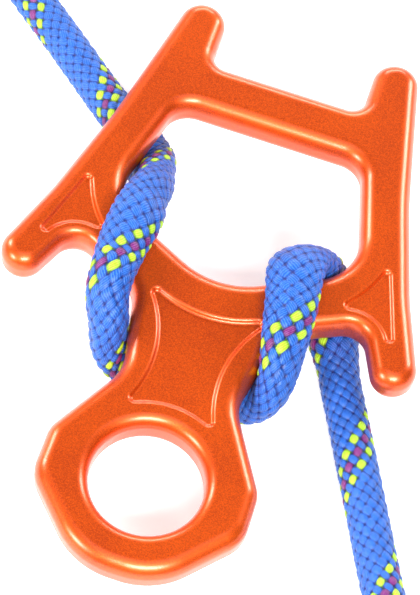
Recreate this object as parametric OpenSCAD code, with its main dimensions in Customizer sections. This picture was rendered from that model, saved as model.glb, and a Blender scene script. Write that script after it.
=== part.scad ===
// Rescue figure-eight descender with four ears, and the rope that is threaded through it.
// Origin: centre of the carabiner eye, halfway through the plate.
// +Y runs up the plate's long axis to the top bar, +Z is the plate's front, +X is its right.

/* [Plate] */
// Thickness of the forged plate
plate_thickness = 11; // [10:0.5:12]
// Radius that rounds the plate's outer edges
edge_radius = 4.3; // [3:0.1:4.5]
// Number of flats in each quarter of a rounded edge
edge_flats = 3; // [2:1:5]
// Turn in degrees between points on the outline's arcs
arc_step = 12; // [8:1:20]

/* [Carabiner eye] */
// Radius of the eye's cylindrical wall
eye_radius = 15; // [13:0.5:16]
// Radius that rounds the eye's two rims
eye_rim_radius = 3.6; // [2:0.1:4]

/* [Sunken fields] */
// Depth of the shallow fields in the neck and the lower ears
field_depth = 1; // [0.4:0.1:1.2]

/* [Rope] */
// Diameter of the rope
rope_diameter = 10.5; // [9:0.5:10.5]
// Number of sides of the rope's tube
rope_sides = 10; // [8:1:12]

/* [Anchor eye of the rope] */
// Wall of the shrunk sleeve over the sewn strands
sleeve_wall = 1; // [0.6:0.1:1]
// Length of the shrunk sleeve
sleeve_length = 40; // [34:1:42]
// Radius of the loop at the middle of the rope
loop_radius = 16; // [16:0.5:17]
// Wall of the thimble
thimble_wall = 1.5; // [1:0.1:2]
// How far the thimble's flanges stand up beside the rope
thimble_flange = 2.7; // [2:0.1:3]

/* [Brake end of the rope] */
// Wall of the shrunk sleeve on the brake end
end_sleeve_wall = 0.8; // [0.5:0.1:0.8]
// Length of the shrunk sleeve on the brake end
end_sleeve_length = 26; // [20:1:28]

/* [Hidden] */
$fn = 72;

body_colour = "OrangeRed";
rope_colour = "RoyalBlue";
sleeve_colour = "DimGray";
thimble_colour = "Gainsboro";
thread_colour = "WhiteSmoke";

half = plate_thickness / 2;
rope_r = rope_diameter / 2;
// How far the eye cutter's last slope runs on past the plate's face, as a share of that slope
overshoot = 0.5;

// Right half of the plate's outline, clockwise from the top bar to the foot.
// Each corner is given as x, y and fillet radius.
outline_half = [
    [22, 125.5, 4.5],
    [22, 143.5, 6.4],
    [33.5, 145.5, 6.4],
    [42.5, 102, 160],
    [50.5, 73.5, 60],
    [59.2, 49.8, 6.2],
    [48.6, 44.8, 5.9],
    [40.6, 62.4, 5.5],
    [20.4, 52.3, 9],
    [15.6, 28, 12],
    [28.3, 6.2, 8],
    [28.5, -7.5, 10],
    [11, -26.5, 22]
];
// Right half of the rope window, the last corner being on the plate's middle line
window_half = [
    [26.5, 110.5, 7.5],
    [35.4, 76.5, 14.5],
    [0, 59, 23.3]
];
// Right half of the neck's sunken field, with its sides bowed inwards
neck_field_half = [
    [0, 46.4, 31],
    [17.4, 54.2, 1.2],
    [5.4, 36.9, 32],
    [12, 18.3, 1.2],
    [0, 22.8, 22]
];
// The right lower ear's sunken field
ear_field = [
    [42.3, 81.2, 1.1],
    [51.4, 51.8, 1],
    [43.5, 65.3, 10],
    [32.6, 64.3, 1.1],
    [38.5, 70.8, 30]
];

// Route of the rope from the anchor eye's sewing, through the window and round the neck, to the brake end
rope_route = [
    [-120, 171.8, -10],
    [-90, 147.2, -10],
    [-77.5, 137.5, -11],
    [-60.2, 123.5, -11],
    [-43.2, 109.5, -11],
    [-35.3, 102.9, -11],
    [-30, 97, -10],
    [-26, 91, -5],
    [-25, 84.5, 1.5],
    [-25, 77, 7.8],
    [-25.6, 69, 11],
    [-26.4, 61, 11.2],
    [-26.8, 53, 11],
    [-26.2, 46, 8.8],
    [-24.8, 40.8, 4],
    [-23.4, 38.4, -1.7],
    [-20.9, 37.8, -7.2],
    [-16, 37.5, -10.4],
    [-9, 37.5, -11],
    [0, 37.5, -11],
    [9, 37.5, -11],
    [16.4, 37.3, -10.4],
    [20.8, 37.3, -7.2],
    [23.2, 38.2, -1.8],
    [23.6, 41.2, 3.8],
    [23, 46.5, 8.7],
    [21.5, 53.3, 11],
    [20.1, 61, 11.2],
    [18.8, 67.2, 10.8],
    [19, 72.8, 6.9],
    [21.2, 76.2, 1.5],
    [24.2, 77.6, -4.5],
    [27.2, 76.1, -9.4],
    [30, 71.6, -11],
    [33, 64, -11],
    [37.5, 54.2, -11],
    [44, 41.5, -11],
    [51, 27.5, -11],
    [58, 13.5, -11],
    [65, -0.5, -11],
    [69.5, -9.5, -10.2],
    [81.5, -33.5, -10.2]
];
// Route of the anchor eye, in distances along and across the upper leg: from the tail's end to the sewing
eye_route = [
    [-34, 11],
    [0, 11],
    [9, 11.6],
    [18, 15.4],
    [26, 19.4],
    [34, 21.5],
    [42, 19.4],
    [47.9, 13.5],
    [50, 5.5],
    [47.9, -2.5],
    [42, -8.4],
    [34, -10.5],
    [26, -8.4],
    [18, -4.4],
    [9, -0.6]
];
eye_loop_centre = [34, 5.5];

leg_start = rope_route[0];
leg_dir = unit(rope_route[0] - rope_route[1]);
leg_side = cross(leg_dir, [0, 0, 1]);
tail_dir = -leg_dir;
end_dir = unit(rope_route[len(rope_route) - 1] - rope_route[len(rope_route) - 2]);
rope_end = rope_route[len(rope_route) - 1];
strand_gap = eye_route[1][1];
rope_path = concat([for (p = eye_route) on_leg(p)], rope_route);

// A vector made one long
function unit(v) = v / norm(v);

// A point given along and across the upper leg, from where the anchor eye's sewing ends
function on_leg(p) = leg_start + leg_dir * p[0] + leg_side * p[1];

// Both halves of an outline that is symmetric about the middle line
function both_halves(half_outline) = concat(
    half_outline,
    [for (i = [len(half_outline) - 1:-1:0]) let (c = half_outline[i]) if (c[0] > 0) [-c[0], c[1], c[2]]]
);

// Signed turn in degrees from direction a to direction b
function turn(a, b) = atan2(a[0] * b[1] - a[1] * b[0], a[0] * b[0] + a[1] * b[1]);

// One filleted corner of a clockwise outline, as points with their outward normals:
// x, y, normal x, normal y
function fillet(before, corner, after, step) =
    let (
        came = unit([corner[0] - before[0], corner[1] - before[1]]),
        goes = unit([after[0] - corner[0], after[1] - corner[1]]),
        bend = turn(came, goes),
        side = bend > 0 ? 1 : -1,
        start = [corner[0], corner[1]] - came * corner[2] * tan(abs(bend) / 2),
        centre = start + side * corner[2] * [-came[1], came[0]],
        first = atan2(start[1] - centre[1], start[0] - centre[0]),
        steps = max(2, ceil(abs(bend) / step))
    )
    [for (k = [0:steps])
        let (a = first + bend * k / steps)
        [centre[0] + corner[2] * cos(a), centre[1] + corner[2] * sin(a), -side * cos(a), -side * sin(a)]];

// A whole outline of filleted corners
function filleted(corners, step) =
    let (n = len(corners))
    [for (i = [0:n - 1])
        each fillet(corners[(i + n - 1) % n], corners[i], corners[(i + 1) % n], step)];

// One level of a slab: the outline moved inwards by a distance, at a height
function level(outline, inset, z) = [for (p = outline) [p[0] - p[2] * inset, p[1] - p[3] * inset, z]];

// Inset and height of each level of a quarter-round edge, from the middle of the wall to the face
function edge_levels(radius, flats) = [
    for (k = [0:flats]) let (a = 90 * k / flats) [radius * (1 - cos(a)), half - radius + radius * sin(a)]
];

// All levels of an edge that is the same on both faces, bottom first
function both_edges(levels) = concat(
    [for (k = [len(levels) - 1:-1:0]) [levels[k][0], -levels[k][1]]],
    levels
);

// A solid through rings of equal length, closed at both ends.
// The rings run clockwise seen from the last one.
module skin(rings) {
    n = len(rings[0]);
    last = len(rings) - 1;
    polyhedron(
        points = [for (ring = rings) each ring],
        faces = concat(
            [[for (i = [n - 1:-1:0]) i]],
            [[for (i = [0:n - 1]) last * n + i]],
            [for (r = [0:last - 1], i = [0:n - 1])
                [r * n + i, r * n + (i + 1) % n, (r + 1) * n + (i + 1) % n, (r + 1) * n + i]]
        ),
        convexity = 10
    );
}

// Corner numbers of one wall facet between two neighbouring levels
function facet(start, n, i, j) = [start + i, start + j, start + n + j, start + n + i];

// The plate with its rope window, all edges rounded.
// Each face is closed by two pieces that meet along two lines between the outline and the window.
module framed_slab() {
    levels = both_edges(edge_levels(edge_radius, edge_flats));
    outer = filleted(both_halves(outline_half), arc_step);
    inner = filleted(both_halves(window_half), arc_step);
    a = len(outer);
    b = len(inner);
    n = a + b;
    last = len(levels) - 1;
    right = concat([for (i = [0:a / 2]) i], [for (i = [floor(b / 2):-1:0]) a + i]);
    left = concat([for (i = [a / 2:a]) i % a], [for (i = [b:-1:floor(b / 2)]) a + i % b]);
    polyhedron(
        points = [for (l = levels) each concat(level(outer, l[0], l[1]), level(inner, -l[0], l[1]))],
        faces = concat(
            [for (piece = [right, left]) [for (i = piece) last * n + i]],
            [for (piece = [right, left]) [for (k = [len(piece) - 1:-1:0]) piece[k]]],
            [for (r = [0:last - 1], i = [0:a - 1]) facet(r * n, n, i, (i + 1) % a)],
            [for (r = [0:last - 1], i = [0:b - 1]) facet(r * n + a, n, (i + 1) % b, i)]
        ),
        convexity = 10
    );
}

// Cutter of the carabiner eye: a true bore with a rounded rim on each face
module eye_cutter() {
    edge = edge_levels(eye_rim_radius, 4);
    levels = both_edges(concat([for (k = [0:3]) edge[k]], [edge[4] + (edge[4] - edge[3]) * overshoot]));
    rotate_extrude($fn = 96)
        polygon(concat(
            [[0, levels[0][1]]],
            [for (l = levels) [eye_radius + l[0], l[1]]],
            [[0, -levels[0][1]]]
        ));
}

// Cutter of one sunken field on the front face
module field_cutter(corners) {
    translate([0, 0, half - field_depth])
        linear_extrude(field_depth + 1)
            polygon([for (p = filleted(corners, 20)) [p[0], p[1]]]);
}

// The forged plate
module descender_body() {
    color(body_colour)
        difference() {
            resize([0, 0, plate_thickness]) framed_slab();
            eye_cutter();
            for (face = [0, 1]) {
                mirror([0, 0, face]) {
                    field_cutter(both_halves(neck_field_half));
                    field_cutter(ear_field);
                    mirror([1, 0, 0]) field_cutter(ear_field);
                }
            }
        }
}

// Direction of a path at each of its points
function tangents(path) = [
    for (i = [0:len(path) - 1])
        unit(path[min(i + 1, len(path) - 1)] - path[max(i - 1, 0)])
];

// The part of a vector that is square to a direction, made one long
function squared(v, direction) = unit(v - (v * direction) * direction);

// Rings of points round a path, carried along it without twist
function tube_rings(path, radius, sides) =
    let (
        ways = tangents(path),
        last = len(path) - 1,
        sideways = [for (i = 0, n = squared([0, 0, 1], ways[0]); i <= last;
            i = i + 1, n = squared(n, ways[min(i, last)])) n]
    )
    [for (i = [0:last])
        let (other = cross(ways[i], sideways[i]))
        [for (k = [0:sides - 1])
            let (a = -360 * k / sides)
            path[i] + radius * (cos(a) * sideways[i] + sin(a) * other)]];

// The rope: one tube along the whole route
module rope() {
    color(rope_colour) skin(tube_rings(rope_path, rope_r, rope_sides));
}

// Places its children on the upper leg: X along the leg away from the plate, Y across it
module on_upper_leg(p) {
    translate(on_leg(p))
        rotate([0, 0, atan2(leg_dir[1], leg_dir[0])])
            mirror([0, 1, 0])
                children();
}

// Grooved ring that the anchor eye is formed round
module eye_thimble() {
    groove = loop_radius - rope_r - 0.1;
    bore = groove - thimble_wall;
    top = rope_r + sleeve_wall;
    color(thimble_colour)
        on_upper_leg(eye_loop_centre)
            difference() {
                cylinder(r = groove + thimble_flange, h = 2 * top, center = true);
                cylinder(r = bore, h = 2 * top + 2, center = true);
                difference() {
                    cylinder(r = groove + thimble_flange + 1, h = 2 * rope_r + 0.1, center = true);
                    cylinder(r = groove, h = 2 * rope_r + 1, center = true);
                }
            }
}

// Bars of thread that lie in the hollows between the two sewn strands, above and below
module eye_stitching() {
    bar = [1.4, 3.4, 0.7];
    pitch = 3.6;
    bars = 8;
    color(thread_colour)
        on_upper_leg([0, strand_gap / 2])
            for (k = [1:bars], face = [-1, 1]) {
                translate([-pitch * k, 0, face * (rope_r - bar[2] / 2 - 0.1)])
                    cube(bar, center = true);
            }
}

// Shrunk sleeve over the two sewn strands
module eye_sleeve() {
    color(sleeve_colour)
        on_upper_leg([0, strand_gap / 2])
            rotate([0, -90, 0])
                linear_extrude(sleeve_length)
                    difference() {
                        two_strands(rope_r + sleeve_wall);
                        two_strands(rope_r + 0.05);
                    }
}

// Round-ended slot that goes round both strands
module two_strands(radius) {
    for (side = [-1, 1]) translate([0, side * strand_gap / 2]) circle(radius);
    square([2 * radius, strand_gap], center = true);
}

// Places its children at a point of the brake end, with Z along the rope
module on_brake_end(back) {
    translate(rope_end - end_dir * back)
        rotate([0, 90, atan2(end_dir[1], end_dir[0])])
            children();
}

// Shrunk sleeve round the brake end
module end_sleeve() {
    color(sleeve_colour)
        on_brake_end(end_sleeve_length)
            difference() {
                cylinder(r = rope_r + end_sleeve_wall, h = end_sleeve_length - 0.5);
                translate([0, 0, -1]) cylinder(r = rope_r + 0.05, h = end_sleeve_length + 2);
            }
}

// Melted end of a rope: a low dome
module melted_end(radius) {
    rotate_extrude()
        polygon(concat(
            [[0, 0]],
            [for (k = [0:4]) let (a = 90 * k / 4) [radius - 1.2 * (1 - cos(a)), 1.2 * sin(a)]],
            [[0, 1.6]]
        ));
}

// Melted end on the brake end
module end_tip() {
    color(rope_colour) on_brake_end(0) melted_end(rope_r - 0.2);
}

// Melted end of the tail, inside the sleeve
module tail_tip() {
    color(rope_colour)
        translate(on_leg(eye_route[0]))
            rotate([0, 90, atan2(tail_dir[1], tail_dir[0])])
                melted_end(rope_r - 0.2);
}

descender_body();
rope();
eye_thimble();
eye_stitching();
eye_sleeve();
end_sleeve();
end_tip();
tail_tip();
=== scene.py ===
import math

import bpy
import numpy as np
from mathutils import Matrix, Vector
from mathutils.bvhtree import BVHTree
from mathutils.geometry import tessellate_polygon


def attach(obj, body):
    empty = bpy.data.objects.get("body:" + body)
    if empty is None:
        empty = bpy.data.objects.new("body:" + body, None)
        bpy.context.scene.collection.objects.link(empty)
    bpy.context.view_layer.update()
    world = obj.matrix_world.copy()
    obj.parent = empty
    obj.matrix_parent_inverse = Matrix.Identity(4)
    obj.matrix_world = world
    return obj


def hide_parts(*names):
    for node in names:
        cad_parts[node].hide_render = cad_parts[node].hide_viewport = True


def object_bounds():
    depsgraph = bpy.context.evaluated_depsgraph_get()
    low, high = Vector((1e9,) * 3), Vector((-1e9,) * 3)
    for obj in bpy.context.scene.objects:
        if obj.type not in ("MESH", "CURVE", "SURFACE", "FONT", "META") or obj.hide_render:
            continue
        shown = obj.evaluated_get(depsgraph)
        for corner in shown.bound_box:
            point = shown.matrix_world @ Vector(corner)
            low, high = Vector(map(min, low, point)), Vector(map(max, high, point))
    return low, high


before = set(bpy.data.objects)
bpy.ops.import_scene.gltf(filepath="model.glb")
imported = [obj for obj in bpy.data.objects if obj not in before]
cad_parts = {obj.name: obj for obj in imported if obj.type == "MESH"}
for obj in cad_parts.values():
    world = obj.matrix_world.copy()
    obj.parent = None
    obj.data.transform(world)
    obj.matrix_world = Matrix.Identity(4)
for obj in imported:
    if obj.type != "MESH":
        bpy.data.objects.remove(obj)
cad_lo, cad_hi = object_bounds()
MM = 0.001


# ---------------------------------------------------------------- small helpers
def unit(v):
    """The vector at length 1."""
    v = np.asarray(v, float)
    return v / np.linalg.norm(v)


def smoothstep(x):
    """0 below 0, 1 above 1, and a smooth rise between."""
    x = np.clip(x, 0.0, 1.0)
    return x * x * (3 - 2 * x)


# ---------------------------------------------------------------- camera
def spin(axis, degrees):
    """Rotation matrix about one axis."""
    return np.array(Matrix.Rotation(math.radians(degrees), 3, axis))


# From the plate's frame to the camera's: the plate leans back, turns a little and is rolled clockwise
VIEW = spin("Z", -18.0) @ spin("Y", -3.1) @ spin("X", -28.0)
VIEW_SHIFT = np.array([-0.0164, -0.0481, 0.0])   # where the eye's centre lies from the middle of the picture
VIEW_DISTANCE = 0.6656
SENSOR = 36.0
FOCAL_LENGTH, PICTURE_HEIGHT = 2600, 595         # in pixels
cam_data = bpy.data.cameras.new("camera")
cam_data.sensor_width = SENSOR
cam_data.lens = SENSOR * FOCAL_LENGTH / PICTURE_HEIGHT
cam_data.clip_start, cam_data.clip_end = 0.01, 20
camera = bpy.data.objects.new("camera", cam_data)
bpy.context.scene.collection.objects.link(camera)
camera_place = VIEW.T @ (np.array([0, 0, VIEW_DISTANCE]) - VIEW_SHIFT)
camera.matrix_world = Matrix.Translation(Vector(camera_place)) @ Matrix(VIEW.T.tolist()).to_4x4()
bpy.context.scene.camera = camera


# ---------------------------------------------------------------- mesh helpers
def piece(name, verts, faces, slot, normals=None):
    """A smooth-shaded mesh that rides on the only body. The slot is not used."""
    mesh = bpy.data.meshes.new(name)
    mesh.from_pydata([tuple(map(float, v)) for v in verts], [], [tuple(map(int, f)) for f in faces])
    mesh.update()
    mesh.polygons.foreach_set("use_smooth", [True] * len(mesh.polygons))
    if normals is not None:
        mesh.normals_split_custom_set_from_vertices([tuple(map(float, n)) for n in normals])
    obj = bpy.data.objects.new(name, mesh)
    bpy.context.scene.collection.objects.link(obj)
    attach(obj, "root")
    return obj


def between_rings(rings, sides, closed):
    """Faces between rings of the same number of sides; closed joins the last ring to the first."""
    return [(r * sides + i, r * sides + (i + 1) % sides,
             (r + 1) % rings * sides + (i + 1) % sides, (r + 1) % rings * sides + i)
            for r in range(rings if closed else rings - 1) for i in range(sides)]


def facing_out(verts, faces):
    """Turns all faces round if the closed mesh has its faces inwards."""
    volume = 0.0
    for f in faces:
        for k in range(1, len(f) - 1):
            volume += np.dot(verts[f[0]], np.cross(verts[f[k]], verts[f[k + 1]]))
    return faces if volume > 0 else [f[::-1] for f in faces]


# ---------------------------------------------------------------- rope route, as in the part's source
ROPE_R = 0.00525             # radius of the declared rope
# From the anchor eye's sewing, through the window and round the neck, to the brake end
ROUTE = np.array([
    (-0.120, 0.1718, -0.010), (-0.090, 0.1472, -0.010), (-0.0775, 0.1375, -0.011), (-0.0602, 0.1235, -0.011),
    (-0.0432, 0.1095, -0.011), (-0.0353, 0.1029, -0.011), (-0.030, 0.097, -0.010), (-0.026, 0.091, -0.005),
    (-0.025, 0.0845, 0.0015), (-0.025, 0.077, 0.0078), (-0.0256, 0.069, 0.011), (-0.0264, 0.061, 0.0112),
    (-0.0268, 0.053, 0.011), (-0.0262, 0.046, 0.0088), (-0.0248, 0.0408, 0.004), (-0.0234, 0.0384, -0.0017),
    (-0.0209, 0.0378, -0.0072), (-0.016, 0.0375, -0.0104), (-0.009, 0.0375, -0.011), (0.0, 0.0375, -0.011),
    (0.009, 0.0375, -0.011), (0.0164, 0.0373, -0.0104), (0.0208, 0.0373, -0.0072), (0.0232, 0.0382, -0.0018),
    (0.0236, 0.0412, 0.0038), (0.023, 0.0465, 0.0087), (0.0215, 0.0533, 0.011), (0.0201, 0.061, 0.0112),
    (0.0188, 0.0672, 0.0108), (0.019, 0.0728, 0.0069), (0.0212, 0.0762, 0.0015), (0.0242, 0.0776, -0.0045),
    (0.0272, 0.0761, -0.0094), (0.030, 0.0716, -0.011), (0.033, 0.064, -0.011), (0.0375, 0.0542, -0.011),
    (0.044, 0.0415, -0.011), (0.051, 0.0275, -0.011), (0.058, 0.0135, -0.011), (0.065, -0.0005, -0.011),
    (0.0695, -0.0095, -0.0102), (0.0815, -0.0335, -0.0102)])
# From the tail under the sleeve round the anchor eye, along the upper leg and across it
EYE_ROUTE = [
    (-0.034, 0.011), (0.0, 0.011), (0.009, 0.0116), (0.018, 0.0154), (0.026, 0.0194), (0.034, 0.0215),
    (0.042, 0.0194), (0.0479, 0.0135), (0.050, 0.0055), (0.0479, -0.0025), (0.042, -0.0084),
    (0.034, -0.0105), (0.026, -0.0084), (0.018, -0.0044), (0.009, -0.0006)]
LEG = unit(ROUTE[0] - ROUTE[1])
ACROSS = np.cross(LEG, [0, 0, 1])
UP = np.array([0.0, 0.0, 1.0])


def on_leg(away, across, up=0.0):
    """A point near the upper leg's end: away from the plate, across the leg, and up."""
    return ROUTE[0] + LEG * away + ACROSS * across + UP * up


def spline(points, count=24):
    """Centripetal Catmull-Rom curve through the points."""
    p = np.concatenate([[2 * points[0] - points[1]], points, [2 * points[-1] - points[-2]]])
    out = []
    for i in range(1, len(p) - 2):
        a, b, c, d = p[i - 1 : i + 3]
        t0 = 0.0
        t1 = t0 + math.sqrt(np.linalg.norm(b - a))
        t2 = t1 + math.sqrt(np.linalg.norm(c - b))
        t3 = t2 + math.sqrt(np.linalg.norm(d - c))
        t = np.linspace(t1, t2, count, endpoint=False)[:, None]
        a1 = (t1 - t) / (t1 - t0) * a + (t - t0) / (t1 - t0) * b
        a2 = (t2 - t) / (t2 - t1) * b + (t - t1) / (t2 - t1) * c
        a3 = (t3 - t) / (t3 - t2) * c + (t - t2) / (t3 - t2) * d
        b1 = (t2 - t) / (t2 - t0) * a1 + (t - t0) / (t2 - t0) * a2
        b2 = (t3 - t) / (t3 - t1) * a2 + (t - t1) / (t3 - t1) * a3
        out.append((t2 - t) / (t2 - t1) * b1 + (t - t1) / (t2 - t1) * b2)
    out.append(points[-1][None])
    return np.concatenate(out)


def along(path):
    """Distance from the start at each point of a path."""
    return np.concatenate([[0], np.cumsum(np.linalg.norm(np.diff(path, axis=0), axis=1))])


def evenly(path, count):
    """The same path through a number of evenly spaced points."""
    s = along(path)
    at = np.linspace(0, s[-1], count)
    return np.stack([np.interp(at, s, path[:, k]) for k in range(3)], 1)


def soften(values, width):
    """Averages each row of values with its neighbours; width is in rows. The ends stay."""
    values = np.asarray(values, float)
    flat = values.ndim == 1
    v = values[:, None] if flat else values
    w = int(3 * width)
    kernel = np.exp(-0.5 * (np.arange(-w, w + 1) / width) ** 2)
    kernel /= kernel.sum()
    padded = np.concatenate([2 * v[:1] - v[w:0:-1], v, 2 * v[-1:] - v[-2 : -w - 2 : -1]])
    out = np.stack([np.convolve(padded[:, k], kernel, "valid") for k in range(v.shape[1])], 1)
    return out[:, 0] if flat else out


# ---------------------------------------------------------------- plate, outlined as in the part's source
HALF = 0.0055    # half the plate's thickness
EDGE = 0.0043    # radius of its rounded edges
# Corners as x, y and fillet radius in millimetres, clockwise, for the right half of each outline
OUTLINE_HALF = [
    (22, 125.5, 4.5), (22, 143.5, 6.4), (33.5, 145.5, 6.4), (42.5, 102, 160), (50.5, 73.5, 60),
    (59.2, 49.8, 6.2), (48.6, 44.8, 5.9), (40.6, 62.4, 5.5), (20.4, 52.3, 9), (15.6, 28, 12),
    (28.3, 6.2, 8), (28.5, -7.5, 10), (11, -26.5, 22)]
WINDOW_HALF = [(26.5, 110.5, 7.5), (35.4, 76.5, 14.5), (0, 59, 23.3)]
NECK_HALF = [(0, 46.4, 31), (17.4, 54.2, 1.2), (5.4, 36.9, 32), (12, 18.3, 1.2), (0, 22.8, 22)]
EAR = [(42.3, 81.2, 1.1), (51.4, 51.8, 1), (43.5, 65.3, 10), (32.6, 64.3, 1.1), (38.5, 70.8, 30)]
EYE_R = 0.015
EYE_RIM = 0.0036
ARC_STEP = math.radians(3.0)     # turn between points on the outlines' arcs
EDGE_STEPS = 14                  # levels in each quarter of a rounded edge
# Walls of the sunken fields: radius of the rim, radius at the floor, and how far they lean at their steepest
SHOULDER_R, FOOT_R, WALL_TILT = 0.00125, 0.00110, math.radians(55)
RIM_REACH = SHOULDER_R * math.sin(WALL_TILT)


def both_halves(half):
    """An outline from its right half, by mirroring the corners that aren't on the middle line."""
    return list(half) + [(-x, y, r) for x, y, r in reversed(half) if x > 0]


def filleted(corners, step):
    """Filleted clockwise outline: points and outward normals, in metres."""
    c = np.array(corners, float) * MM
    points, normals = [], []
    for i in range(len(c)):
        before, corner, after = c[i - 1, :2], c[i, :2], c[(i + 1) % len(c), :2]
        r = c[i, 2]
        came, goes = unit(corner - before), unit(after - corner)
        bend = math.atan2(came[0] * goes[1] - came[1] * goes[0], came @ goes)
        side = 1 if bend > 0 else -1
        start = corner - came * r * math.tan(abs(bend) / 2)
        centre = start + side * r * np.array([-came[1], came[0]])
        first = math.atan2(*(start - centre)[::-1])
        steps = max(2, math.ceil(abs(bend) / step))
        for k in range(steps + 1):
            a = first + bend * k / steps
            points.append(centre + r * np.array([math.cos(a), math.sin(a)]))
            normals.append(np.array([math.cos(a), math.sin(a)]) * -side)
    return refine(np.array(points), np.array(normals))


def refine(points, normals, longest=0.004):
    """Adds points on the outline's long straight sides."""
    p, n = [], []
    for i in range(len(points)):
        j = (i + 1) % len(points)
        parts = max(1, math.ceil(np.linalg.norm(points[j] - points[i]) / longest))
        for k in range(parts):
            p.append(points[i] + (points[j] - points[i]) * k / parts)
            n.append(unit(normals[i] + (normals[j] - normals[i]) * k / parts))
    return np.array(p), np.array(n)


def circle(radius, count):
    """Clockwise circle: points and outward normals."""
    a = -2 * math.pi * np.arange(count) / count
    n = np.stack([np.cos(a), np.sin(a)], 1)
    return n * radius, n


def pocket_profile(steps=6):
    """Distance inwards, depth and tilt of each level of a sunken field's wall, from its rim to its floor."""
    out = []
    for k in range(steps + 1):
        t = WALL_TILT * k / steps
        out.append((-RIM_REACH + SHOULDER_R * math.sin(t), SHOULDER_R * (1 - math.cos(t)), t))
    x0, d0, _ = out[-1]
    for k in range(1, steps + 1):
        t = WALL_TILT * (1 - k / steps)
        out.append((x0 + FOOT_R * (math.sin(WALL_TILT) - math.sin(t)),
                    d0 + FOOT_R * (math.cos(t) - math.cos(WALL_TILT)), t))
    return out


def edge_widths(points, pockets):
    """Share of its width that the rounded edge keeps at each point, less where a sunken field comes near."""
    # Flat left between edge and field in metres, least share, and points over which the share is evened out
    land, least, reach, spread = 0.0003, 0.5, 4, 9
    walls = np.concatenate(pockets)
    near = np.array([np.linalg.norm(walls - p, axis=1).min() for p in points])
    widths = np.clip((near - RIM_REACH - land) / EDGE, least, 1.0)
    count = len(widths)
    low = np.array([min(widths[(i + d) % count] for d in range(-reach, reach + 1)) for i in range(count)])
    kernel = np.exp(-0.5 * (np.arange(-spread, spread + 1) * 3 / spread) ** 2)
    return np.convolve(np.concatenate([low[-spread:], low, low[:spread]]), kernel / kernel.sum(), "valid")


class PlateMesh:
    """Vertices, vertex normals and faces of the plate, gathered ring by ring."""

    def __init__(self):
        self.verts, self.normals, self.faces = [], [], []

    def ring(self, points, outward, inset, z, cosine, sine):
        """Adds one ring, moved against outward by inset. Its normal leans from outward towards the face."""
        start = len(self.verts)
        up = 1 if z >= 0 else -1
        inset, cosine, sine = (np.broadcast_to(v, len(points)) for v in (inset, cosine, sine))
        for p, n, i, c, w in zip(points, outward, inset, cosine, sine):
            q = p - n * i
            self.verts.append((q[0], q[1], z))
            self.normals.append((n[0] * c, n[1] * c, up * w))
        return start

    def wall(self, starts, n, flip):
        """Faces between each ring of n vertices and the next, given where the rings start."""
        for a, b in zip(starts, starts[1:]):
            for i in range(n):
                j = (i + 1) % n
                f = (a + i, a + j, b + j, b + i)
                self.faces.append(f[::-1] if flip else f)

    def rounded_edge(self, points, outward, radius, inward, width=1.0):
        """Rounded wall from the bottom face to the top face; returns its first and last ring."""
        air = -outward if inward else outward
        angles = [math.pi / 2 * k / EDGE_STEPS for k in range(EDGE_STEPS, -1, -1)]
        levels = [(-1, a) for a in angles] + [(1, a) for a in angles[::-1]]
        starts = []
        for up, a in levels:
            inset = radius * width * (1 - math.cos(a))
            cosine, sine = math.cos(a), width * math.sin(a)
            size = np.hypot(cosine, sine)
            z = up * (HALF - radius + radius * math.sin(a))
            starts.append(self.ring(points, air, inset, z, cosine / size, sine / size))
        self.wall(starts, len(points), flip=not inward)
        return starts[0], starts[-1]

    def pocket(self, points, outward, up):
        """Recess with a rounded shoulder and a filleted floor; returns its rim and its floor as loops."""
        starts = [self.ring(points, outward, inset, up * (HALF - depth), -math.sin(tilt), math.cos(tilt))
                  for inset, depth, tilt in pocket_profile()]
        self.wall(starts, len(points), flip=up > 0)
        return (starts[0], len(points)), (starts[-1], len(points))

    def cap(self, loops, up):
        """Flat region with the first loop as its outside and the others as holes."""
        sliver = 1e-14
        ids, polys = [], []
        for start, n in loops:
            own = list(range(start, start + n))
            ids += own
            polys.append([Vector((self.verts[i][0], self.verts[i][1], 0)) for i in own])
        for tri in tessellate_polygon(polys):
            a, b, c = (ids[i] for i in tri)
            pa, pb, pc = self.verts[a], self.verts[b], self.verts[c]
            area = (pb[0] - pa[0]) * (pc[1] - pa[1]) - (pb[1] - pa[1]) * (pc[0] - pa[0])
            if abs(area) < sliver:
                continue
            self.faces.append((a, b, c) if (area > 0) == (up > 0) else (a, c, b))


def build_plate():
    """Vertices, faces and vertex normals of the forged plate with its window, eye and sunken fields."""
    mesh = PlateMesh()
    outline, outline_n = filleted(both_halves(OUTLINE_HALF), ARC_STEP)
    window, window_n = filleted(both_halves(WINDOW_HALF), ARC_STEP)
    eye, eye_n = circle(EYE_R, count=160)
    mirrored = [(-x, y, r) for x, y, r in EAR[::-1]]
    pockets = [filleted(corners, 2 * ARC_STEP) for corners in (both_halves(NECK_HALF), EAR, mirrored)]
    widths = edge_widths(outline, [p for p, _ in pockets])
    outer = mesh.rounded_edge(outline, outline_n, EDGE, False, widths)
    inner = mesh.rounded_edge(window, window_n, EDGE, True)
    bore = mesh.rounded_edge(eye, eye_n, EYE_RIM, True)
    for side, up in ((0, -1), (1, 1)):
        holes = [(inner[side], len(window)), (bore[side], len(eye))]
        for points, outward in pockets:
            rim, floor = mesh.pocket(points, outward, up)
            holes.append(rim)
            mesh.cap([floor], up)
        mesh.cap([(outer[side], len(outline))] + holes, up)
    return np.array(mesh.verts), mesh.faces, np.array(mesh.normals)


plate_verts, plate_faces, plate_normals = build_plate()
plate_tree = BVHTree.FromPolygons([Vector(v) for v in plate_verts], [list(map(int, f)) for f in plate_faces])

# ---------------------------------------------------------------- rope
PITCH = 0.037                # length of one full turn of a carrier
CARRIERS = 10                # in each direction
CREST = 0.0057               # outermost radius of the sheath
# Shares by which the rope is pressed flat and spreads where it bears on the plate
FLATTEN, WIDEN = 0.15, 0.30
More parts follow.
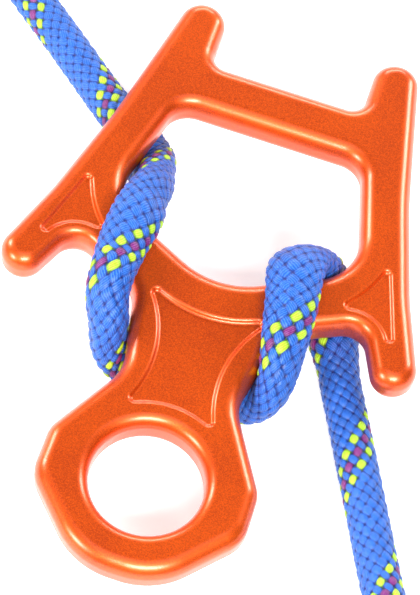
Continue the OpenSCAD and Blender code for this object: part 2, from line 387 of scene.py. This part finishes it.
# How far a strand rises over another, how far its middle stands above its edge, and how deep the line is
# that parts two strands
RISE, THICK, CREASE = 0.00034, 0.00038, 0.00016
SQUEEZE = 0.075              # share by which the shrunk sleeves squeeze the rope
SWELL = 0.09                 # share by which a tight bend thickens the rope on its free sides
BEARS_WITHIN = 0.0018        # gap over which the rope's bearing on the plate fades out
FULL_SWELL_BEND = 90         # bend, in radians a metre, that swells the rope in full
LINES = (0.0, 0.06, 0.25, 0.5, 0.75, 0.94)   # places of the mesh lines across one strand pitch
SUB = len(LINES)
# Half width of the plain strands, and of the tracers and the strands that cross them
WIDE, NARROW = 0.50, 0.44
LIME, VIOLET, BLUE = (0.36, 0.62, 0.018, 1), (0.16, 0.002, 0.145, 1), (0.0035, 0.088, 0.45, 1)
TRACERS = {0: LIME, 1: VIOLET, 2: LIME}
# Turn of the whole braid, in degrees, at distances along the rope in metres. It brings the tracers to where
# they show on each stretch of the rope.
BRAID_TURN = [(0, 190), (0.22, 70), (0.25, 45), (0.285, 85), (0.325, 20), (0.35, 100), (0.42, 245),
              (0.51, 165), (0.60, 100)]
SLEEVE_LENGTH = 0.040        # of the sleeve over the sewing
END_SLEEVE_BACK = 0.026      # how far back the other sleeve starts from the brake end
FLOAT_SHIFT = 0.0015         # where along the rope the floats sit
UNEVEN = 0.00003             # how much single floats stand higher or lower


def rope_centreline():
    """The declared route as a smooth path, with one row for each mesh line of the braid."""
    per_point, samples, softening = 4, 1200, 3.0
    points = np.concatenate([[on_leg(a, c) for a, c in EYE_ROUTE], ROUTE])
    fine = evenly(spline(points), per_point * len(points))
    fine = soften(evenly(fine, samples), softening)
    rows = int(round(along(fine)[-1] / (PITCH / (2 * CARRIERS * SUB))))
    return evenly(fine, rows + 1)


def directions(path):
    """Unit direction at each point of a path."""
    d = np.gradient(path, axis=0)
    return d / np.linalg.norm(d, axis=1)[:, None]


def carried(ways, start):
    """A direction square to the path, carried along it without twist."""
    out = []
    n = np.array(start, float)
    for t in ways:
        n = unit(n - t * (n @ t))
        out.append(n)
    return np.array(out)


def press_on_plate(path):
    """Presses the rope on the plate: new centreline, press direction, amount, and swelling of the bends."""
    toward, near = [], []
    for p in path:
        hit, _, _, d = plate_tree.find_nearest(Vector(p))
        toward.append(unit(np.array(hit) - p))
        near.append(d)
    near = np.array(near)
    touching, furthest, steepness = 0.0002, 0.0012, 2.2
    # Distances along the rope, in metres, over which each of these is evened out
    bearing_over, side_over, path_over, bend_over = 0.006, 0.003, 0.0012, 0.004
    bearing = 1 - smoothstep((near - ROPE_R - touching) / BEARS_WITHIN)
    step = along(path)[-1] / len(path)
    bearing = soften(bearing, bearing_over / step)
    toward = soften(np.array(toward), side_over / step)
    toward /= np.linalg.norm(toward, axis=1)[:, None]
    half_height = CREST * (1 - FLATTEN * bearing)
    gap = soften(near, side_over / step) - half_height
    moved = path + toward * (np.clip(gap, -furthest, furthest) * smoothstep(bearing * steepness))[:, None]
    moved = soften(moved, path_over / step)
    bend = soften(np.linalg.norm(np.gradient(directions(moved), axis=0), axis=1) / step, bend_over / step)
    return moved, toward, bearing, SWELL * smoothstep(bend / FULL_SWELL_BEND)


def squeezed(path):
    """Share of the rope's radius that is left along it, less under the two shrunk sleeves."""
    fade, margin = 0.0015, 0.0005
    up_leg = (path - ROUTE[0]) @ LEG
    from_end = along(path)[-1] - along(path)
    sewn = smoothstep((up_leg + SLEEVE_LENGTH + margin) / fade) * smoothstep((margin - up_leg) / fade)
    return 1 - SQUEEZE * np.maximum(sewn, smoothstep((END_SLEEVE_BACK + margin - from_end) / fade))


def weave(a, b):
    """The strand on top at lattice places a and b: height, direction, number, place across and along."""
    below_all, meets = -0.0001, 1.0005
    flat_share, corner_power = 0.95, 3.2     # the shape of a strand's cross-section
    top = np.full((5,) + a.shape, below_all)
    tracer = np.isin(np.arange(CARRIERS), list(TRACERS))
    for family, (u, v) in enumerate(((a, b), (b, a))):
        for step in (-1, 0, 1):
            strand, cell = np.floor(u) + step, np.floor(v)
            across, length = u - strand - 0.5, v - cell - 0.5
            over = ((strand + cell) % 2 == 0) == (family == 0)
            crossed = (strand if family == 0 else cell).astype(int) % CARRIERS
            t = np.abs(across) / np.where(tracer[crossed], NARROW, WIDE)
            lens = np.sqrt(np.clip(1 - flat_share * t ** corner_power, 0, 1))
            height = np.where(over, RISE, -RISE) * np.cos(np.pi * length) + THICK * lens
            middle = cell + 0.5 + np.where(over, 0.0, np.where(length > 0, 1.0, -1.0))
            wins = (t < meets) & (height > top[0])
            found = (height, np.full(a.shape, float(family)), strand, across, v - middle)
            for k in range(5):
                top[k] = np.where(wins, found[k], top[k])
    return top


def unit_rows(v):
    """Each vector of an array at length 1."""
    return v / np.linalg.norm(v, axis=-1, keepdims=True)


def braid_sway(angle, s):
    """Slight waviness of the carriers, in radians, so that the lattice isn't perfect."""
    waves = ((0.018, 3, 410, 0), (0.015, 5, -930, 2), (0.012, 2, 1700, 4))
    return sum(size * np.sin(turns * angle + rate * s + phase) for size, turns, rate, phase in waves)


def braid_radius(a, b, k, m, lift):
    """Distance of each vertex from the rope's middle, before the rope is squeezed or pressed."""
    # A point lies in a crease where the four places just round it have different strands on top
    nudge = 1e-5
    around = [weave(a + da, b + db) for da in (-nudge, nudge) for db in (-nudge, nudge)]
    height = np.max([near[0] for near in around], axis=0)
    more_than_all_strands = 10000
    strand_on_top = [near[1] * more_than_all_strands + near[2] for near in around]
    parted = np.max(strand_on_top, axis=0) != np.min(strand_on_top, axis=0)
    first_cell = 3
    uneven = lift[(m // SUB) % CARRIERS, (k // SUB + first_cell) % lift.shape[1]]
    height = height + uneven * np.cos(np.pi * (a - np.floor(a) - 0.5))
    return np.minimum(CREST - RISE - THICK + height, CREST) - CREASE * parted


def pressed_flat(middle, out, way, toward, pressed, swollen):
    """Vertices round the rope's middle, flattened towards the plate and widened beside it."""
    flat = unit_rows(np.cross(way, toward))
    press = np.cross(flat, way)
    deep = (out * press).sum(-1, keepdims=True)
    wide = (out * flat).sum(-1, keepdims=True)
    deep = deep * (1 - FLATTEN * pressed) * np.where(deep < 0, swollen, 1.0)
    wide = wide * (1 + WIDEN * pressed) * swollen
    return (middle + deep * press + wide * flat).reshape(-1, 3)


def braid_faces(rows, n):
    """One face per lattice mesh, with its UVs, the strand on top in its middle, and that strand's float."""
    r, i = np.meshgrid(np.arange(1, rows - 1), np.arange(n), indexing="ij")
    j = (i + 1) % n
    faces = np.stack([r * n + i, (r - 1) * n + j, r * n + j, (r + 1) * n + i], -1).reshape(-1, 4)
    ends = np.append(LINES, 1.0)
    a0, a1 = i // SUB + ends[i % SUB], i // SUB + ends[i % SUB + 1]
    b0, b1 = (i + r) // SUB + ends[(i + r) % SUB], (i + r) // SUB + ends[(i + r) % SUB + 1]
    mid_a, mid_b = (a0 + a1) / 2, (b0 + b1) / 2
    _, turned, strand, across, length = weave(mid_a, mid_b)
    top_a = turned < 0.5
    uv = np.stack([np.stack([across + np.where(top_a, ca - mid_a, cb - mid_b),
                             length + np.where(top_a, cb - mid_b, ca - mid_a)], -1)
                   for ca, cb in ((a0, b0), (a1, b0), (a1, b1), (a0, b1))], -2)
    own = strand.astype(int) % CARRIERS + np.where(top_a, 0, CARRIERS)
    floats = np.round(np.where(top_a, mid_b, mid_a) - length).astype(int)
    above_zero = 1.0
    return faces, uv.reshape(-1, 4, 2) + above_zero, own, floats


def end_caps(rows, n):
    """Triangles that fill the lattice's two jagged ends, and a flat face on each."""
    caps = []
    for i in range(n):
        j = (i + 1) % n
        caps.append((i, j, n + i))
        caps.append(((rows - 1) * n + i, (rows - 2) * n + j, (rows - 1) * n + j))
    return caps + [tuple(range(n - 1, -1, -1)), tuple(range((rows - 1) * n, rows * n))]


def braid_lattice(rows, n, length):
    """Row k and line m of each vertex, its lattice places a and b, its angle, and its distance along."""
    k, m = np.meshgrid(np.arange(rows), np.arange(n), indexing="ij")
    lines = np.array(LINES)
    a = m // SUB + lines[m % SUB]
    b = (m + k) // SUB + lines[(m + k) % SUB]
    angle = 2 * np.pi / CARRIERS * (a + b) / 2
    s = np.clip((b - a) * PITCH / (2 * CARRIERS) + FLOAT_SHIFT, 0, length)
    return k, m, a, b, angle, np.where(k == 0, 0.0, np.where(k == rows - 1, length, s))


def braid_verts(path, toward, bearing, swelling, lift, n):
    """Vertices of the sheath, and how deep in the braid each one lies, from 0 on the crests to 1."""
    distance = along(path)
    k, m, a, b, angle, s = braid_lattice(len(path), n, distance[-1])

    def at(values):
        """Values known along the path, at each vertex's own distance."""
        return np.stack([np.interp(s, distance, values[:, i]) for i in range(3)], -1)

    ways = directions(path)
    radius = braid_radius(a, b, k, m, lift)
    # How deep each vertex lies in the braid; the sheath's material paints shade into the creases from it
    depth = ((CREST - radius) / (RISE + THICK + CREASE)).reshape(-1)
    radius = radius * np.interp(s, distance, squeezed(path))
    way, one = unit_rows(at(ways)), unit_rows(at(carried(ways, UP)))
    other = np.cross(way, one)
    turn = angle + braid_sway(angle, s) + np.radians(np.interp(s, *zip(*BRAID_TURN)))
    out = radius[..., None] * (np.cos(turn)[..., None] * one + np.sin(turn)[..., None] * other)
    verts = pressed_flat(at(path), out, way, at(toward), np.interp(s, distance, bearing)[..., None],
                         1 + np.interp(s, distance, swelling)[..., None])
    return verts, depth


def build_rope():
    """The rope's path, and its sheath, meshed on the braid's own lattice so that edges follow the strands."""
    path, toward, bearing, swelling = press_on_plate(rope_centreline())
    rows, n = len(path), CARRIERS * SUB
    seed, spare_cells = 7, 16
    rng = np.random.default_rng(seed)
    cells = rows // SUB + spare_cells
    lift = rng.normal(0, UNEVEN, (CARRIERS, cells))
    verts, depth = braid_verts(path, toward, bearing, swelling, lift, n)

    faces, uv, own, floats = braid_faces(rows, n)
    # One face well away from the ends tells which way round all of them are
    sample_row, sample_line = 40, 7
    pa, pb, pc = (verts[v] for v in faces[sample_row * n + sample_line][:3])
    if np.cross(pb - pa, pc - pb) @ (pa - path[sample_row]) < 0:
        faces, uv = faces[:, ::-1], uv[:, ::-1]
    caps = end_caps(rows, n)
    palette = np.array([TRACERS.get(c, BLUE) for c in range(CARRIERS)] + [BLUE] * CARRIERS)
    tone = rng.normal(0, 1, (2 * CARRIERS, 3 * cells))[own, floats % (3 * cells)].reshape(-1)
    colours = np.concatenate([palette[own].reshape(-1, 4), np.tile(BLUE, (len(caps), 1))])
    tone = np.concatenate([tone, np.zeros(len(caps))])
    uv = np.concatenate([uv.reshape(-1, 2), np.full((sum(map(len, caps)), 2), 1.0)])

    rope = piece("rope_sheath", verts, [tuple(f) for f in faces.tolist()] + caps, "rope_sheath")
    mesh = rope.data
    # The sheath's material reads these; from depth it paints shade into the creases
    mesh.attributes.new("carrier", "FLOAT_COLOR", "FACE").data.foreach_set("color", colours.reshape(-1))
    mesh.attributes.new("tone", "FLOAT", "FACE").data.foreach_set("value", tone)
    mesh.attributes.new("depth", "FLOAT", "POINT").data.foreach_set("value", depth)
    mesh.uv_layers.new(name="yarn").data.foreach_set("uv", uv.reshape(-1))
    return path, rope


rope_path, rope = build_rope()
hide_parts("rope")


# ---------------------------------------------------------------- plate
plate = piece("plate", plate_verts, plate_faces, "anodised_body", normals=plate_normals)
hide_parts("descender_body")


# ---------------------------------------------------------------- the rope's two ends
STRAND_GAP = 0.011           # between the middles of the two strands below the sewn eye
MIDDLE = STRAND_GAP / 2
END = ROUTE[-1]
END_WAY = unit(ROUTE[-1] - ROUTE[-2])
END_SIDE = unit(np.cross(END_WAY, UP))
ROW_PITCH = 0.0036           # from one row of sewing to the next
SLEEVE_BORE = 0.00541        # radius of the holes through both sleeves
END_SLEEVE_LENGTH = 0.0255
MELTED_R = 0.00505           # radius of the melted ends


def on_brake_end(back, across, up):
    """A point near the brake end: back from it along the leg, across the leg, and up."""
    return END - END_WAY * back + END_SIDE * across + UP * up


def revolved(profile, centre, axis_x, axis_y, axis_z, sides, lump=None):
    """Rings of a profile of (radius, height) turned about axis_z; lump makes them uneven."""
    rows = []
    for radius, height in profile:
        a = 2 * math.pi * np.arange(sides) / sides
        r = np.full(sides, radius)
        h = np.full(sides, height)
        if lump is not None:
            r, h = lump(a, r, h)
        rows.append(centre + (r * np.cos(a))[:, None] * axis_x + (r * np.sin(a))[:, None] * axis_y
                    + h[:, None] * axis_z)
    return rows


def arc(cx, cy, radius, first, last, steps):
    """Points on an arc between two angles in degrees."""
    a = np.radians(np.linspace(first, last, steps + 1))
    return [(cx + radius * math.cos(t), cy + radius * math.sin(t)) for t in a]


def build_thimble():
    """Grooved ring with rounded flanges that the anchor eye is formed round."""
    bore, flange, top = 0.00915, 0.01335, 0.00625
    groove, groove_middle = 0.00538, 0.016
    inner_lip, outer_lip, eye_middle, sides = 0.0005, 0.0007, 0.034, 112
    right = arc(bore + inner_lip, top - inner_lip, inner_lip, 180, 90, 5) \
        + arc(flange - outer_lip, top - outer_lip, outer_lip, 90, 0, 6)
    half = [(flange - 0.00010, 0.00490)] + arc(groove_middle, 0.0, groove, 122, 180, 14)
    upper = [(bore, 0.0), (bore, top * 0.5)] + right + half
    lower = [(r, -h) for r, h in reversed(upper[1:-1])]
    rows = revolved(upper + lower, on_leg(eye_middle, MIDDLE), LEG, ACROSS, UP, sides)
    verts = np.concatenate(rows)
    return verts, facing_out(verts, between_rings(len(rows), sides, True))


def build_stitching():
    """Rows of four threads each, on both faces of the two strands, that sink between the strands."""
    verts, faces = [], []
    sides, rings, thread_r = 7, 13, 0.00020
    rows, threads, thread_pitch, slant = 8, 4, 0.00036, 0.00042
    reach, top, dip, hook = 0.0033, 0.00492, 0.00042, 0.0007
    hook_from, hook_slope = 0.8, 4
    t = np.linspace(-1, 1, rings)
    height = top - dip * (1 - t ** 2) ** 2 - hook * np.clip(np.abs(t) - hook_from, 0, 1) * hook_slope
    for row in range(1, rows + 1):
        for up in (-1, 1):
            for k in range(threads):
                start = -ROW_PITCH * row + (k - (threads - 1) / 2) * thread_pitch
                lean = slant * (-1) ** k
                path = np.array([on_leg(start + lean * a, MIDDLE + reach * a, up * h)
                                 for a, h in zip(t, height)])
                base = len(verts)
                for i in range(rings):
                    way = unit(path[min(i + 1, rings - 1)] - path[max(i - 1, 0)])
                    one = unit(np.cross(way, LEG))
                    other = np.cross(way, one)
                    for q in range(sides):
                        a = 2 * math.pi * q / sides
                        verts.append(path[i] + thread_r * (math.cos(a) * one + math.sin(a) * other))
                for i in range(rings - 1):
                    for q in range(sides):
                        w = (q + 1) % sides
                        faces.append((base + i * sides + q, base + (i + 1) * sides + q,
                                      base + (i + 1) * sides + w, base + i * sides + w))
                faces.append(tuple(base + q for q in range(sides)))
                faces.append(tuple(base + (rings - 1) * sides + q for q in range(sides - 1, -1, -1)))
    verts = np.array(verts)
    return verts, facing_out(verts, faces)


def sleeve_mesh(outer, place, half_gap, length, rows, sides):
    """Shrunk tube: outer(t, a) is its outer reach, t from 0 to 1 along it. Its lips are rounded."""
    lip, lip_drop, steep, bore_rings = 0.0005, 0.0004, 1.6, 7
    lip_angles = [math.radians(a) for a in (0, 30, 60, 90)]

    def ring(reach, t):
        out = []
        for k in range(sides):
            a = 2 * math.pi * k / sides
            r = reach(t, a)
            side = half_gap * max(-1.0, min(1.0, math.cos(a) * steep))
            out.append(place(t * length, side + r * math.cos(a), r * math.sin(a)))
        return out

    def lip_ring(angle, t):
        """One ring of a rounded lip; the angle is 0 at its edge and 90 degrees where the sleeve begins."""
        drop = lip_drop * (1 - math.sin(angle))
        return ring(lambda t, a: outer(t, a) - drop, t)

    rings = [lip_ring(a, lip * (1 - math.cos(a)) / length) for a in lip_angles]
    for k in range(1, rows):
        rings.append(ring(outer, lip / length + (1 - 2 * lip / length) * k / rows))
    rings += [lip_ring(a, 1 - lip * (1 - math.cos(a)) / length) for a in lip_angles[::-1]]
    for k in range(bore_rings):
        rings.append(ring(lambda t, a: SLEEVE_BORE, 1 - k / (bore_rings - 1)))
    verts = np.concatenate(rings)
    return verts, facing_out(verts, between_rings(len(rings), sides, True))


def lip_fade(t, share):
    """1 at both ends of a sleeve, fading to 0 within a share of its length."""
    return smoothstep(1 - t / share) + smoothstep(1 - (1 - t) / share)


def eye_sleeve_reach(t, a):
    """Outer reach of the sleeve over the sewing, which sinks between the strands and shows the sewn rows."""
    radius, thinner_at_lips = 0.00618, 0.00030
    waist = 0.00050 * math.sin(a) ** 8
    bars = 0.00007 * math.cos(2 * math.pi * t * SLEEVE_LENGTH / ROW_PITCH) * math.sin(a) ** 4
    ripple = 0.00006 * math.sin(5 * a + 9 * t) * math.sin(14 * t + 1)
    return radius - waist + bars - thinner_at_lips * lip_fade(t, 0.09) + ripple


def end_sleeve_reach(t, a):
    """Outer reach of the sleeve round the brake end."""
    radius, thinner_at_lips = 0.00600, 0.00028
    ripple = 0.00005 * math.sin(3 * a + 7 * t) * math.sin(11 * t + 2)
    return radius - thinner_at_lips * lip_fade(t, 0.12) + ripple


def build_melted(centre, way, seed):
    """Low uneven dome that the cut end of the rope has melted into."""
    way = unit(way)
    side = unit(np.cross(way, [0, 0, 1]))
    other = np.cross(way, side)
    waves = np.random.default_rng(seed).uniform(0, 2 * math.pi, 6)
    sides, dome_height = 48, 0.0016
    rim_wave, rise_wave, widest = 0.00022, 0.00016, MELTED_R + 0.0002
    lowest, highest = -0.0009, 0.00158

    def lump(a, r, h):
        """Makes a ring's radius and height uneven."""
        rim = rim_wave * (np.sin(3 * a + waves[0]) + 0.6 * np.sin(7 * a + waves[1])) * r / MELTED_R
        rise = rise_wave * (np.sin(2 * a + waves[2]) + 0.7 * np.sin(5 * a + waves[3])) * (h / dome_height)
        return np.minimum(r + rim, widest), np.clip(h + rise, lowest, highest)

    # Share of the radius, and height over the cut
    dome = [(0.97, -0.0008), (1, -0.0002), (1, 0.0003), (0.965, 0.0007), (0.89, 0.00105), (0.76, 0.00130),
            (0.58, 0.00145), (0.36, 0.00150), (0.16, 0.00148)]
    profile = [(MELTED_R * share, height) for share, height in dome]
    rows = revolved(profile, np.asarray(centre, float), side, other, way, sides, lump)
    verts = np.concatenate(rows)
    last = (len(rows) - 1) * sides
    faces = between_rings(len(rows), sides, False)
    faces.append(tuple(range(sides - 1, -1, -1)))
    faces.append(tuple(last + i for i in range(sides)))
    return verts, facing_out(verts, faces)


thimble = piece("thimble", *build_thimble(), "thimble")
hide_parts("eye_thimble")
stitching = piece("stitching", *build_stitching(), "thread")
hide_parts("eye_stitching")
sewn_sleeve = piece("sewn_sleeve", *sleeve_mesh(
    eye_sleeve_reach, lambda t, c, u: on_leg(-t, MIDDLE + c, u), MIDDLE, SLEEVE_LENGTH,
    rows=90, sides=72), "sleeve")
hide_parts("eye_sleeve")
brake_sleeve = piece("brake_sleeve", *sleeve_mesh(
    end_sleeve_reach, lambda t, c, u: on_brake_end(END_SLEEVE_BACK - t, c, u), 0.0, END_SLEEVE_LENGTH,
    rows=60, sides=56), "sleeve")
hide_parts("end_sleeve")
melted_end = piece("melted_end", *build_melted(END, END_WAY, seed=3), "melted_ends")
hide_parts("end_tip")
melted_tail = piece("melted_tail", *build_melted(on_leg(*EYE_ROUTE[0]), -LEG, seed=5), "melted_ends")
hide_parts("tail_tip")


# ---------------------------------------------------------------- materials
class Finish:
    """A procedural material: its Principled shader, and short calls that add nodes to it."""

    def __init__(self, name):
        self.material = bpy.data.materials.new(name)
        self.material.use_nodes = True
        self.nodes, self.links = self.material.node_tree.nodes, self.material.node_tree.links
        self.shader = self.nodes["Principled BSDF"]

    def add(self, kind, **values):
        """A new node, with numbers set on its sockets and other values on the node itself."""
        new = self.nodes.new(kind)
        for name, value in values.items():
            if name in new.inputs:
                new.inputs[name].default_value = value
            else:
                setattr(new, name, value)
        return new

    def feed(self, values, sockets):
        """Links outputs to sockets, or sets plain numbers and colours on them."""
        for value, socket in zip(values, sockets):
            if isinstance(value, bpy.types.NodeSocket):
                self.links.new(value, socket)
            else:
                socket.default_value = value

    def mix(self, factor, a, b, blend="MIX"):
        """Blends colour b over colour a."""
        new = self.add("ShaderNodeMix", data_type="RGBA", blend_type=blend)
        self.feed((factor, a, b), (new.inputs[0], new.inputs[6], new.inputs[7]))
        return new.outputs[2]

    def maths(self, operation, a, b=0.0):
        """The result of a sum on outputs or numbers."""
        new = self.add("ShaderNodeMath", operation=operation)
        self.feed((a, b), new.inputs)
        return new.outputs[0]

    def noise(self, scale, detail, roughness=0.5, distortion=0.0):
        """Noise in the object's own coordinates; scale is in cells a metre."""
        new = self.add("ShaderNodeTexNoise", Scale=scale, Detail=detail, Roughness=roughness,
                       Distortion=distortion)
        self.links.new(self.add("ShaderNodeTexCoord").outputs["Object"], new.inputs["Vector"])
        return new.outputs["Fac"]

    def ranged(self, value, start=(0.0, 1.0), end=(0.0, 1.0), kind="LINEAR"):
        """Maps the range start on the range end."""
        new = self.add("ShaderNodeMapRange", interpolation_type=kind)
        names = ("Value", "From Min", "From Max", "To Min", "To Max")
        self.feed((value, *start, *end), [new.inputs[name] for name in names])
        return new.outputs[0]

    def set(self, values):
        """Numbers, colours or outputs for the shader's sockets, by the sockets' names."""
        self.feed(values.values(), [self.shader.inputs[name] for name in values])

    def bump(self, height, strength, distance):
        """Lets a height tilt the shader's normal; distance is in metres."""
        new = self.add("ShaderNodeBump", Strength=strength, Distance=distance)
        self.links.new(height, new.inputs["Height"])
        self.set({"Normal": new.outputs[0]})


def anodised():
    """Blasted aluminium under orange anodising: fine grain, slight clouds and a satin sealed surface."""
    finish = Finish("orange_anodised")
    grain, cloud = finish.noise(3200, 3, 0.6), finish.noise(45, 2)
    tone = finish.maths("ADD", finish.maths("MULTIPLY", grain, 0.75), finish.maths("MULTIPLY", cloud, 0.25))
    deep, bright = (0.60, 0.052, 0.0005, 1), (1.0, 0.125, 0.001, 1)
    finish.set({"Base Color": finish.mix(finish.ranged(tone, (0.36, 0.64)), deep, bright),
                "Metallic": 0.75, "Roughness": 0.44,
                "Coat Weight": 0.8, "Coat Roughness": 0.26, "Coat IOR": 1.55})
    finish.bump(grain, 0.35, 0.00005)
    return finish.material


def sheath():
    """Braided polyamide: the carriers' colours, with painted highlights along the filaments of the strands
    and painted shade in the creases.
    """
    filaments, wander, filament_share = 5, 0.22, 0.85
    finish = Finish("braided_sheath")
    base = finish.add("ShaderNodeAttribute", attribute_name="carrier").outputs["Color"]
    tone = finish.add("ShaderNodeAttribute", attribute_name="tone").outputs["Fac"]
    depth = finish.add("ShaderNodeAttribute", attribute_name="depth").outputs["Fac"]
    yarn = finish.add("ShaderNodeSeparateXYZ")
    finish.feed([finish.add("ShaderNodeUVMap", uv_map="yarn").outputs[0]], yarn.inputs)
    stray = finish.maths("MULTIPLY", finish.noise(1700, 2, 0.6), wander)
    across = finish.maths("ADD", yarn.outputs[0], stray)
    wave = finish.maths("SINE", finish.maths("MULTIPLY", across, 2 * math.pi * filaments))
    fibre = finish.maths("MULTIPLY", finish.maths("ADD", wave, 1.0), 0.5)
    # Each float is a little lighter or darker than the next
    light = finish.maths("ADD", finish.maths("MULTIPLY", tone, 0.05), 1.0)
    grey = finish.add("ShaderNodeCombineColor")
    finish.feed([light] * 3, grey.inputs)
    toned = finish.mix(1.0, base, grey.outputs[0], "MULTIPLY")
    # Painted highlight: pale lines along the filaments stand in for light caught by them; their relief comes
    # from the bump below
    lighter = finish.mix(1.0, toned, (1.6, 1.6, 1.6, 1), "MULTIPLY")
    painted_filament_highlight = finish.mix(1.0, lighter, (0.05, 0.08, 0.06, 1), "ADD")
    filament_highlight_mask = finish.maths("MULTIPLY", finish.maths("POWER", fibre, 2.0), filament_share)
    streaked = finish.mix(filament_highlight_mask, toned, painted_filament_highlight)
    # Painted shade: the creases between the strands are darkened by how deep they lie in the braid
    deep = finish.mix(1.0, toned, (0.08, 0.15, 0.38, 1), "MULTIPLY")
    crease_shade = finish.ranged(depth, (0.18, 0.56), kind="SMOOTHSTEP")
    finish.set({"Base Color": finish.mix(crease_shade, streaked, deep), "Roughness": 0.42,
                "Specular IOR Level": 0.5, "Sheen Weight": 0.05, "Sheen Roughness": 0.4})
    finish.bump(fibre, 0.55, 0.00008)
    return finish.material


def steel():
    """Zinc-plated steel with a faint spangle."""
    finish = Finish("zinc_plated_steel")
    spots = finish.noise(420, 4, 0.62)
    finish.set({"Base Color": finish.mix(spots, (0.50, 0.51, 0.53, 1), (0.74, 0.75, 0.77, 1)),
                "Roughness": finish.ranged(spots, end=(0.24, 0.46)), "Metallic": 1.0})
    finish.bump(finish.noise(3800, 2), 0.25, 0.00003)
    return finish.material


def thread():
    """Pale twisted sewing thread."""
    finish = Finish("sewing_thread")
    twist = finish.add("ShaderNodeTexWave", Scale=1500.0, Distortion=1.5, Detail=2.0)
    finish.feed([finish.add("ShaderNodeTexCoord").outputs["Object"]], [twist.inputs["Vector"]])
    strands = twist.outputs["Fac"]
    finish.set({"Base Color": finish.mix(strands, (0.62, 0.61, 0.57, 1), (0.86, 0.85, 0.81, 1)),
                "Roughness": 0.6, "Sheen Weight": 0.3})
    finish.bump(strands, 0.6, 0.00005)
    return finish.material


def shrink_tube():
    """Black shrunk tube with a dull, slightly grained skin."""
    finish = Finish("shrink_tube")
    skin = finish.noise(900, 4, 0.6)
    finish.set({"Base Color": finish.mix(skin, (0.010, 0.010, 0.012, 1), (0.030, 0.030, 0.034, 1)),
                "Roughness": finish.ranged(skin, end=(0.30, 0.50))})
    finish.bump(skin, 0.3, 0.00006)
    return finish.material


def melted():
    """Glazed, darkened polyamide where the rope was cut with heat."""
    finish = Finish("melted_sheath")
    swirl = finish.noise(520, 3, distortion=1.2)
    finish.set({"Base Color": finish.mix(swirl, (0.006, 0.022, 0.13, 1), (0.035, 0.11, 0.42, 1)),
                "Roughness": finish.ranged(swirl, end=(0.16, 0.42))})
    finish.bump(swirl, 0.5, 0.0001)
    return finish.material


rope.data.materials.append(sheath())
plate.data.materials.append(anodised())
thimble.data.materials.append(steel())
stitching.data.materials.append(thread())
tube_material = shrink_tube()
melt_material = melted()
for obj, finish in ((sewn_sleeve, tube_material), (brake_sleeve, tube_material),
                    (melted_end, melt_material), (melted_tail, melt_material)):
    obj.data.materials.append(finish)


# ---------------------------------------------------------------- floor, lights, world
def stage_floor():
    """Floor that is white for the camera and in reflections, and keeps the part's soft shadow."""
    half_size, clearance = 6, 0.00001
    z = min(cad_lo.z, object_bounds()[0].z) - clearance
    mesh = bpy.data.meshes.new("floor")
    corners = ((-1, -1), (1, -1), (1, 1), (-1, 1))
    mesh.from_pydata([(half_size * x, half_size * y, z) for x, y in corners], [], [(0, 1, 2, 3)])
    obj = bpy.data.objects.new("floor", mesh)
    bpy.context.scene.collection.objects.link(obj)
    finish = Finish("pale_floor")
    path = finish.add("ShaderNodeLightPath").outputs
    mirrored = finish.maths("MAXIMUM", path["Is Glossy Ray"], path["Is Transmission Ray"])
    seen = finish.maths("MAXIMUM", path["Is Camera Ray"], mirrored)
    # Far from the lamps the floor glows by itself
    reach = finish.add("ShaderNodeVectorMath", operation="LENGTH")
    finish.feed([finish.add("ShaderNodeTexCoord").outputs["Object"]], reach.inputs)
    glow = finish.ranged(reach.outputs["Value"], (0.3, 1.5), (0.5, 1.0), "SMOOTHSTEP")
    finish.set({"Base Color": (0.9, 0.9, 0.9, 1), "Roughness": 1.0, "Specular IOR Level": 0.0,
                "Emission Color": (1, 1, 1, 1), "Emission Strength": finish.maths("MULTIPLY", seen, glow)})
    mesh.materials.append(finish.material)


def softbox(name, azimuth, polar, size_x, size_y, radiance):
    """Area lamp over the plate, at an azimuth from +X and a polar angle from +Z in degrees."""
    distance, target = 1.3, Vector((0, 0.06, 0))
    data = bpy.data.lights.new(name, "AREA")
    data.shape = "RECTANGLE"
    data.size, data.size_y = size_x, size_y
    data.energy = radiance * math.pi * size_x * size_y
    obj = bpy.data.objects.new(name, data)
    a, p = math.radians(azimuth), math.radians(polar)
    way = Vector((math.cos(a) * math.sin(p), math.sin(a) * math.sin(p), math.cos(p)))
    obj.location = target + way * distance
    obj.rotation_euler = way.to_track_quat("Z", "Y").to_euler()
    bpy.context.scene.collection.objects.link(obj)


stage_floor()
softbox("key_top", 285, 10, 1.0, 0.8, 1.1)
softbox("key_band", 290, 42, 0.60, 0.30, 37.0)
softbox("panel_back", 102, 66, 0.9, 0.22, 13.0)
softbox("panel_right", 50, 62, 0.30, 0.40, 21.0)
softbox("panel_left", 161, 62, 0.26, 0.40, 27.0)
softbox("panel_near_left", 226, 62, 0.34, 0.30, 34.0)
world = bpy.data.worlds.new("world")
bpy.context.scene.world = world
world.use_nodes = True
background = world.node_tree.nodes["Background"]
background.inputs["Color"].default_value = (1, 1, 1, 1)
background.inputs["Strength"].default_value = 0.05
bpy.context.scene.view_settings.view_transform = "Standard"
